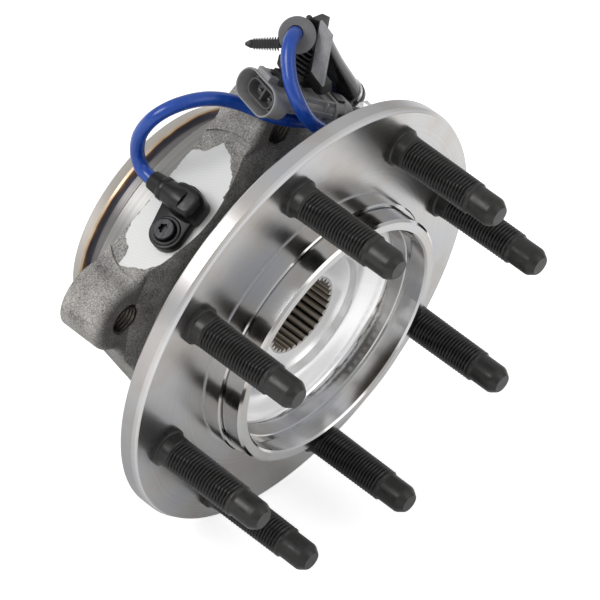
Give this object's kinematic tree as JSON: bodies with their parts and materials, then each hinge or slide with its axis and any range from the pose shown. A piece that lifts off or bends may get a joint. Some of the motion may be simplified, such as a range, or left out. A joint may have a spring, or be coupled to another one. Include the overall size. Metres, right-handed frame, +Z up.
{
  "type": "wheel hub bearing",
  "caption": "Driven front wheel hub bearing: flange with pressed studs, stepped pilot, splined bore, threaded mounting ears and a speed sensor with its lead.",
  "frame": {"origin": "on the spin axis, in the plane of the knuckle mounting face", "axes": "+Y along the spin axis towards the vehicle (inboard), -Y outboard to the wheel, +Z up, with the sensor connector at the top"},
  "size_m": [0.198, 0.1368, 0.2243],
  "materials": {
    "machined_steel": "turned and ground, bright",
    "black_stud_steel": "black phosphate on rolled threads",
    "ring_steel": "ground bearing steel",
    "stamped_steel": "cold stamped",
    "seal_rubber": "moulded nitrile",
    "housing_iron": "rough cast with machined faces",
    "sensor_plastic": "moulded glass-filled nylon",
    "screw_steel": "black oxide",
    "boot_rubber": "moulded rubber",
    "blue_cable": "smooth extruded jacket",
    "black_cable": "smooth extruded jacket",
    "connector_plastic": "moulded nylon, satin",
    "connector_dark": "moulded nylon",
    "tinned_brass": "tin plated",
    "black_nylon": "moulded nylon",
    "grey_nylon": "moulded nylon, satin",
    "grey_rubber": "moulded rubber",
    "bright_steel": "bright zinc",
    "cage_plastic": "moulded nylon"
  },
  "bodies": {
    "housing": {"abs_sensor": "sensor_plastic", "bearing_housing": "housing_iron", "bracket_tab": "bright_steel", "cable_boot": "boot_rubber", "cable_sleeve": "boot_rubber", "clamp_plate": "grey_nylon", "clip_body": "black_nylon", "compression_bush": "stamped_steel", "connector_blades": "tinned_brass", "connector_core": "connector_dark", "connector_lock": "black_nylon", "connector_shell": "connector_plastic", "connector_tail": "black_cable", "fir_tree_clip": "black_nylon", "inboard_seal": "seal_rubber", "lead_grommet": "grey_rubber", "outboard_seal": "seal_rubber", "retainer_band": "connector_plastic", "sensor_lead": "blue_cable", "sensor_o_ring": "seal_rubber", "sensor_screw": "screw_steel", "sleeve_band": "bright_steel", "sleeve_ring": "black_nylon", "wire_seal": "seal_rubber"},
    "hub": {"wheel_hub": "machined_steel", "wheel_studs": "black_stud_steel", "inboard_inner_ring": "ring_steel", "outboard_inner_ring": "ring_steel", "tone_ring": "ring_steel", "outboard_slinger": "stamped_steel", "inboard_slinger": "stamped_steel"},
    "outboard_set": {"outboard_rollers": "ring_steel", "outboard_cage": "cage_plastic"},
    "inboard_set": {"inboard_rollers": "ring_steel", "inboard_cage": "cage_plastic"}
  },
  "joints": [
    {"name": "hub_spin", "type": "hinge", "parent": "housing", "child": "hub", "pos_m": [0, 0, 0], "axis": [0, 1, 0], "continuous": true},
    {"name": "outboard_set_spin", "type": "hinge", "parent": "housing", "child": "outboard_set", "pos_m": [0, 0, 0], "axis": [0, 1, 0], "continuous": true},
    {"name": "inboard_set_spin", "type": "hinge", "parent": "housing", "child": "inboard_set", "pos_m": [0, 0, 0], "axis": [0, 1, 0], "continuous": true}
  ],
  "couplings": [
    {"joint": "outboard_set_spin", "follows": "hub_spin", "ratio": 0.4404},
    {"joint": "inboard_set_spin", "follows": "hub_spin", "ratio": 0.4404}
  ]
}
